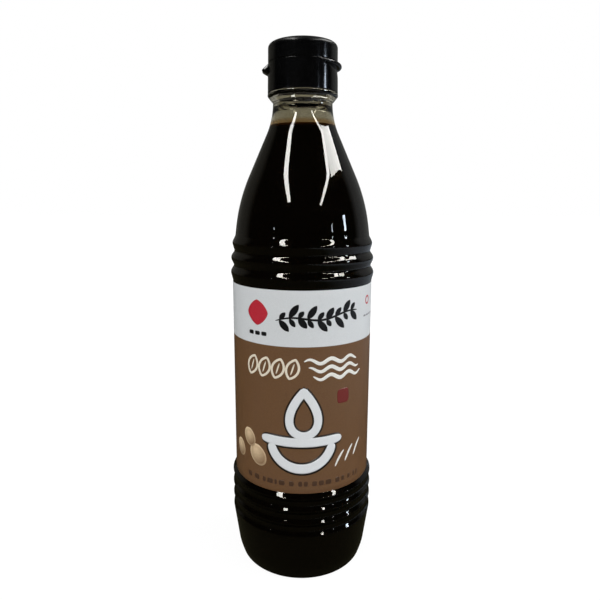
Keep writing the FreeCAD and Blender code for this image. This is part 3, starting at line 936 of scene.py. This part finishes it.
roomShape = {
    "dark": (0.004, 0.004, 0.004, 1),       # what reflections see in front
    "backdrop": ((0.095, 0.092, 0.078, 1), (0.175, 0.178, 0.175, 1)),   # and behind, at the left and right
    "fill": (0.34, 0.35, 0.36, 1),          # soft light on dull surfaces
    "behind": (0.16, 0.40), "sides": (-0.7, 0.7),   # where the backdrop starts and goes from left to right
    "floorPale": ((0.74, 0.74, 0.74, 1), (0.78, 0.78, 0.78, 1)),
    "floorSheen": ((0.030, 0.028, 0.016, 1), (0.26, 0.29, 0.33, 1)),   # to reflections, and at the right
    "sheenNear": (0.16, 0.40), "sheenFar": (0.9, 1.3),                 # m along X
    "floorBright": 1.08,
    "fade": (0.15, 0.7), "fadeShare": 0.86, # the floor turns wholly white between these distances, m
    "floorHalf": 6.0,
}


def seenDirectly(nodes, path):
    # 1 for what the camera sees, also through the clear plastic
    values = {0: path.outputs["Is Camera Ray"], 1: path.outputs["Is Transmission Ray"]}
    return nodes.add("ShaderNodeMath", values, operation="MAXIMUM").outputs[0]


def makeWorld():
    # white to the camera and through the clear plastic; to reflections a dark room with a grey backdrop
    shape = roomShape
    world = bpy.data.worlds.new("room")
    world.use_nodes = True
    bpy.context.scene.world = world
    nodes = Nodes(world.node_tree)
    path = nodes.add("ShaderNodeLightPath")
    where = nodes.add("ShaderNodeTexCoord")
    along = nodes.add("ShaderNodeSeparateXYZ", {"Vector": where.outputs["Generated"]})
    behind = mapped(nodes, along.outputs["Y"], *shape["behind"], 0.0, 1.0)
    sides = mapped(nodes, along.outputs["X"], *shape["sides"], 0.0, 1.0)
    mirrored = mixed(nodes, behind, shape["dark"], mixed(nodes, sides, *shape["backdrop"]))
    other = mixed(nodes, path.outputs["Is Glossy Ray"], shape["fill"], mirrored)
    colour = mixed(nodes, seenDirectly(nodes, path), other, (1, 1, 1, 1))
    background = nodes.add("ShaderNodeBackground", {"Color": colour, "Strength": 1.0})
    nodes.add("ShaderNodeOutputWorld", {"Surface": background.outputs[0]})


def makeFloorMaterial():
    # shows white, with a trace of the bottle's shadow near it; in reflections dim, and paler at the right
    shape = roomShape
    material, nodes = newMaterial("paleFloor")
    path = nodes.add("ShaderNodeLightPath")
    place = nodes.add("ShaderNodeTexCoord").outputs["Object"]
    along = nodes.add("ShaderNodeSeparateXYZ", {"Vector": place}).outputs["X"]
    pale = mixed(nodes, placeNoise(nodes, 3.0), *shape["floorPale"])
    diffuse = nodes.add("ShaderNodeBsdfDiffuse", {"Color": pale})
    near = mapped(nodes, along, *shape["sheenNear"], 0.0, 1.0)
    far = mapped(nodes, along, *shape["sheenFar"], 1.0, 0.0)
    lit = nodes.add("ShaderNodeMath", {0: near, 1: far}, operation="MULTIPLY").outputs[0]
    dim = nodes.add("ShaderNodeEmission", {"Color": mixed(nodes, lit, *shape["floorSheen"]), "Strength": 1.0})
    bright = nodes.add("ShaderNodeEmission", {"Color": (1, 1, 1, 1), "Strength": shape["floorBright"]})
    distance = nodes.add("ShaderNodeVectorMath", {0: place}, operation="LENGTH").outputs["Value"]
    whiter = mapped(nodes, distance, *shape["fade"], shape["fadeShare"], 1.0)

    def blend(share, first, second):
        return nodes.add("ShaderNodeMixShader", {0: share, 1: first.outputs[0], 2: second.outputs[0]})

    unseen = blend(path.outputs["Is Glossy Ray"], diffuse, dim)
    traced = blend(whiter, diffuse, bright)
    finishMaterial(nodes, blend(seenDirectly(nodes, path), unseen, traced))
    return material


def makeFloor():
    side = roomShape["floorHalf"]
    corners = [(-side, -side, standZ), (side, -side, standZ), (side, side, standZ), (-side, side, standZ)]
    mesh = bpy.data.meshes.new("paleFloor")
    mesh.from_pydata(corners, [], [(0, 1, 2, 3)])
    mesh.materials.append(makeFloorMaterial())
    floor = bpy.data.objects.new("paleFloor", mesh)
    bpy.context.scene.collection.objects.link(floor)


cameraShape = {
    "far": 0.2806, "height": 0.19424,   # m from the axis, and above the floor
    "tilt": 10.64, "pan": 0.227, "roll": 0.15,   # degrees
    "lens": 32.23,
}


def makeCamera():
    shape = cameraShape
    data = bpy.data.cameras.new("camera")
    data.lens = shape["lens"]
    data.sensor_width = 36.0
    data.clip_start = 0.01
    camera = bpy.data.objects.new("camera", data)
    bpy.context.scene.collection.objects.link(camera)
    camera.location = (0, -shape["far"], standZ + shape["height"])
    pan = Euler((0, 0, math.radians(shape["pan"]))).to_matrix()
    tilt = Euler((math.radians(90 - shape["tilt"]), 0, 0)).to_matrix()
    roll = Euler((0, 0, math.radians(shape["roll"]))).to_matrix()
    camera.rotation_euler = (pan @ tilt @ roll).to_euler()
    bpy.context.scene.camera = camera


scene = bpy.context.scene
scene.view_settings.view_transform = "Standard"
makeCamera()
makeWorld()
makeFloor()
makeLights()
print("stage, lights and camera are in place")
makeBottle()
makeSauce()
print("bottle and sauce are made")
makeLabel()
makeTopPrint()
makeRowPrint()
makeMiddlePrint()
makeBeans()
makeSmallPrint()
print("label and its print are made")
capPlastic = makeCapPlastic()
makeCapBase(capPlastic)
makeLid(capPlastic)
print("cap is made")
